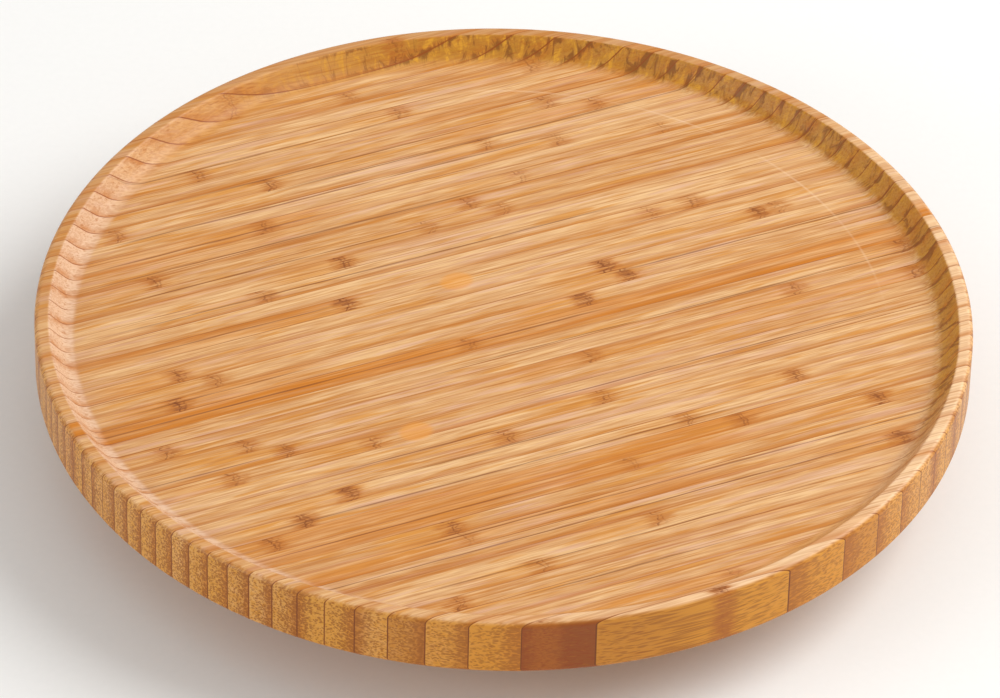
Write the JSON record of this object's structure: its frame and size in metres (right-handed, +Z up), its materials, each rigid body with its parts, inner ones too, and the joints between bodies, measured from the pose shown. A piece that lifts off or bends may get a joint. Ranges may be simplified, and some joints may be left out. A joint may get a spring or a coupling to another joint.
{
  "type": "lazy susan turntable",
  "caption": "Round laminated bamboo tray with a raised rim, turning on a square pressed-steel ball bearing over a smaller round bamboo base with rubber feet.",
  "frame": {"origin": "centre of the plane that the four feet stand on, on the turning axis", "axes": "+Z up along the turning axis, -Y towards the viewer in front, +X to the viewer's right"},
  "size_m": [0.3, 0.3, 0.045],
  "materials": {
    "bamboo": "satin lacquer on edge-glued bamboo strips",
    "galvanised_steel": "pressed sheet, zinc plated",
    "zinc_screws": "bright zinc plating",
    "bearing_steel": "polished",
    "nylon": "moulded, natural white",
    "rubber": "moulded, matt"
  },
  "bodies": {
    "base": {"base_disc": "bamboo", "lower_bearing_plate": "galvanised_steel", "base_screws": "zinc_screws", "foot_screws": "zinc_screws", "rubber_foot_1": "rubber", "rubber_foot_2": "rubber", "rubber_foot_3": "rubber", "rubber_foot_4": "rubber"},
    "turntable": {"tray": "bamboo", "upper_bearing_plate": "galvanised_steel", "tray_screws": "zinc_screws"},
    "cage": {"ball_cage": "nylon"},
    "ball_1": {"bearing_ball_1": "bearing_steel"},
    "ball_2": {"bearing_ball_2": "bearing_steel"},
    "ball_3": {"bearing_ball_3": "bearing_steel"},
    "ball_4": {"bearing_ball_4": "bearing_steel"},
    "ball_5": {"bearing_ball_5": "bearing_steel"},
    "ball_6": {"bearing_ball_6": "bearing_steel"},
    "ball_7": {"bearing_ball_7": "bearing_steel"},
    "ball_8": {"bearing_ball_8": "bearing_steel"},
    "ball_9": {"bearing_ball_9": "bearing_steel"},
    "ball_10": {"bearing_ball_10": "bearing_steel"},
    "ball_11": {"bearing_ball_11": "bearing_steel"},
    "ball_12": {"bearing_ball_12": "bearing_steel"},
    "ball_13": {"bearing_ball_13": "bearing_steel"},
    "ball_14": {"bearing_ball_14": "bearing_steel"},
    "ball_15": {"bearing_ball_15": "bearing_steel"},
    "ball_16": {"bearing_ball_16": "bearing_steel"}
  },
  "joints": [
    {"name": "tray_spin", "type": "hinge", "parent": "base", "child": "turntable", "pos_m": [0, 0, 0.021], "axis": [0, 0, 1], "continuous": true},
    {"name": "cage_spin", "type": "hinge", "parent": "base", "child": "cage", "pos_m": [0, 0, 0.021], "axis": [0, 0, 1], "continuous": true},
    {"name": "ball_1_roll", "type": "hinge", "parent": "cage", "child": "ball_1", "pos_m": [0.038, 0, 0.021], "axis": [1, 0, 0], "continuous": true},
    {"name": "ball_2_roll", "type": "hinge", "parent": "cage", "child": "ball_2", "pos_m": [0.03511, 0.01454, 0.021], "axis": [0.9239, 0.3827, 0], "continuous": true},
    {"name": "ball_3_roll", "type": "hinge", "parent": "cage", "child": "ball_3", "pos_m": [0.02687, 0.02687, 0.021], "axis": [0.7071, 0.7071, 0], "continuous": true},
    {"name": "ball_4_roll", "type": "hinge", "parent": "cage", "child": "ball_4", "pos_m": [0.01454, 0.03511, 0.021], "axis": [0.3827, 0.9239, 0], "continuous": true},
    {"name": "ball_5_roll", "type": "hinge", "parent": "cage", "child": "ball_5", "pos_m": [0, 0.038, 0.021], "axis": [0, 1, 0], "continuous": true},
    {"name": "ball_6_roll", "type": "hinge", "parent": "cage", "child": "ball_6", "pos_m": [-0.01454, 0.03511, 0.021], "axis": [-0.3827, 0.9239, 0], "continuous": true},
    {"name": "ball_7_roll", "type": "hinge", "parent": "cage", "child": "ball_7", "pos_m": [-0.02687, 0.02687, 0.021], "axis": [-0.7071, 0.7071, 0], "continuous": true},
    {"name": "ball_8_roll", "type": "hinge", "parent": "cage", "child": "ball_8", "pos_m": [-0.03511, 0.01454, 0.021], "axis": [-0.9239, 0.3827, 0], "continuous": true},
    {"name": "ball_9_roll", "type": "hinge", "parent": "cage", "child": "ball_9", "pos_m": [-0.038, 0, 0.021], "axis": [-1, 0, 0], "continuous": true},
    {"name": "ball_10_roll", "type": "hinge", "parent": "cage", "child": "ball_10", "pos_m": [-0.03511, -0.01454, 0.021], "axis": [-0.9239, -0.3827, 0], "continuous": true},
    {"name": "ball_11_roll", "type": "hinge", "parent": "cage", "child": "ball_11", "pos_m": [-0.02687, -0.02687, 0.021], "axis": [-0.7071, -0.7071, 0], "continuous": true},
    {"name": "ball_12_roll", "type": "hinge", "parent": "cage", "child": "ball_12", "pos_m": [-0.01454, -0.03511, 0.021], "axis": [-0.3827, -0.9239, 0], "continuous": true},
    {"name": "ball_13_roll", "type": "hinge", "parent": "cage", "child": "ball_13", "pos_m": [0, -0.038, 0.021], "axis": [0, -1, 0], "continuous": true},
    {"name": "ball_14_roll", "type": "hinge", "parent": "cage", "child": "ball_14", "pos_m": [0.01454, -0.03511, 0.021], "axis": [0.3827, -0.9239, 0], "continuous": true},
    {"name": "ball_15_roll", "type": "hinge", "parent": "cage", "child": "ball_15", "pos_m": [0.02687, -0.02687, 0.021], "axis": [0.7071, -0.7071, 0], "continuous": true},
    {"name": "ball_16_roll", "type": "hinge", "parent": "cage", "child": "ball_16", "pos_m": [0.03511, -0.01454, 0.021], "axis": [0.9239, -0.3827, 0], "continuous": true}
  ],
  "couplings": [
    {"joint": "cage_spin", "follows": "tray_spin", "ratio": 0.5},
    {"joint": "ball_1_roll", "follows": "tray_spin", "ratio": -7.9832},
    {"joint": "ball_2_roll", "follows": "tray_spin", "ratio": -7.9832},
    {"joint": "ball_3_roll", "follows": "tray_spin", "ratio": -7.9832},
    {"joint": "ball_4_roll", "follows": "tray_spin", "ratio": -7.9832},
    {"joint": "ball_5_roll", "follows": "tray_spin", "ratio": -7.9832},
    {"joint": "ball_6_roll", "follows": "tray_spin", "ratio": -7.9832},
    {"joint": "ball_7_roll", "follows": "tray_spin", "ratio": -7.9832},
    {"joint": "ball_8_roll", "follows": "tray_spin", "ratio": -7.9832},
    {"joint": "ball_9_roll", "follows": "tray_spin", "ratio": -7.9832},
    {"joint": "ball_10_roll", "follows": "tray_spin", "ratio": -7.9832},
    {"joint": "ball_11_roll", "follows": "tray_spin", "ratio": -7.9832},
    {"joint": "ball_12_roll", "follows": "tray_spin", "ratio": -7.9832},
    {"joint": "ball_13_roll", "follows": "tray_spin", "ratio": -7.9832},
    {"joint": "ball_14_roll", "follows": "tray_spin", "ratio": -7.9832},
    {"joint": "ball_15_roll", "follows": "tray_spin", "ratio": -7.9832},
    {"joint": "ball_16_roll", "follows": "tray_spin", "ratio": -7.9832}
  ]
}
